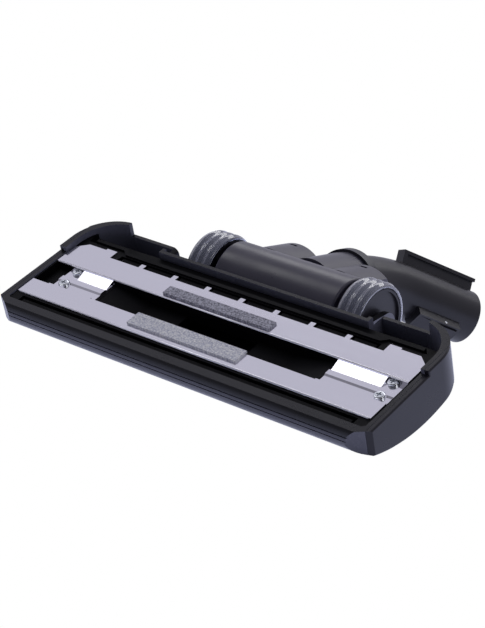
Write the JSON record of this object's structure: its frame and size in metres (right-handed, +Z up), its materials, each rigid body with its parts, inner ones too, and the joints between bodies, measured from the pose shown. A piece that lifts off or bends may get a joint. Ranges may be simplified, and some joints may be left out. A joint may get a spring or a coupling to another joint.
{
  "type": "vacuum brush",
  "caption": "Wide vacuum floor head lying sole up, with a polished steel sole, lint strips, clear-rimmed wheels, a tilting barrel and a swivelling elbow tube.",
  "frame": {"origin": "middle of the bounding box at table height, with the head lying on its back, sole up", "axes": "+X along the head's width, towards the side the elbow points to; +Y from the head to the tube; +Z up. The sole leans back by 25.86 degrees about +X, so its outward normal is (0, -sin, cos) of that angle."},
  "size_m": [0.275, 0.273, 0.0646],
  "materials": {
    "cover": "black moulded plastic with a light sheen",
    "bumper": "smooth dark end caps",
    "frame": "black moulded plastic",
    "sole": "polished stamped sheet steel",
    "zinc": "bright zinc plating",
    "velour_light": "short light grey velour",
    "velour_dark": "short grey velour",
    "barrel": "satin dark grey plastic",
    "collar": "black plastic",
    "wheel": "dark grey plastic",
    "clear": "clear soft plastic ring",
    "tube": "satin dark grey plastic",
    "lever": "dark grey plastic",
    "bristle": "black nylon bristles",
    "pedal": "dark grey plastic"
  },
  "bodies": {
    "head": {"housing_shell": "cover", "end_cap_left": "bumper", "end_cap_right": "bumper", "base_frame": "frame", "suction_duct": "frame", "sole_plate": "sole", "sole_screws": "zinc", "front_lint_strip": "velour_light", "rear_lint_strip": "velour_dark", "axle_pins": "zinc", "pedal_pin": "zinc"},
    "barrel": {"barrel_shell": "barrel", "neck_tube": "barrel", "swivel_collar": "collar"},
    "wheel_left": {"wheel_disc_left": "wheel", "wheel_ring_left": "clear"},
    "wheel_right": {"wheel_disc_right": "wheel", "wheel_ring_right": "clear"},
    "elbow": {"elbow_tube": "tube", "latch_pin": "zinc"},
    "latch": {"latch_lever": "lever"},
    "brush": {"brush_carrier": "frame", "front_bristles": "bristle", "rear_bristles": "bristle"},
    "pedal": {"foot_pedal": "pedal"}
  },
  "joints": [
    {"name": "barrel_tilt", "type": "hinge", "parent": "head", "child": "barrel", "pos_m": [0, -0.02639, 0.03966], "axis": [1, 0, 0], "range_deg": [-55, 0]},
    {"name": "elbow_swivel", "type": "hinge", "parent": "barrel", "child": "elbow", "pos_m": [0, 0.0306, 0.04002], "axis": [0, 1, 0.0063], "range_deg": [-38, 142]},
    {"name": "wheel_left_spin", "type": "hinge", "parent": "head", "child": "wheel_left", "pos_m": [-0.0564, -0.02639, 0.03966], "axis": [1, 0, 0], "continuous": true},
    {"name": "wheel_right_spin", "type": "hinge", "parent": "head", "child": "wheel_right", "pos_m": [0.0564, -0.02639, 0.03966], "axis": [1, 0, 0], "continuous": true},
    {"name": "brush_lift", "type": "slide", "parent": "head", "child": "brush", "axis": [0, -0.4362, 0.8999], "range_m": [0, 0.005]},
    {"name": "pedal_rock", "type": "hinge", "parent": "head", "child": "pedal", "pos_m": [-0.052, -0.06319, 0.02227], "axis": [1, 0, 0], "range_deg": [-15, 0]},
    {"name": "latch_press", "type": "hinge", "parent": "elbow", "child": "latch", "pos_m": [0.03438, 0.092, 0.01354], "axis": [-0.6157, 0.005, -0.788], "range_deg": [-8, 5], "stiffness_Nm_per_rad": 0.05}
  ],
  "couplings": [
    {"joint": "pedal_rock", "follows": "brush_lift", "rad_per_m": -50}
  ]
}
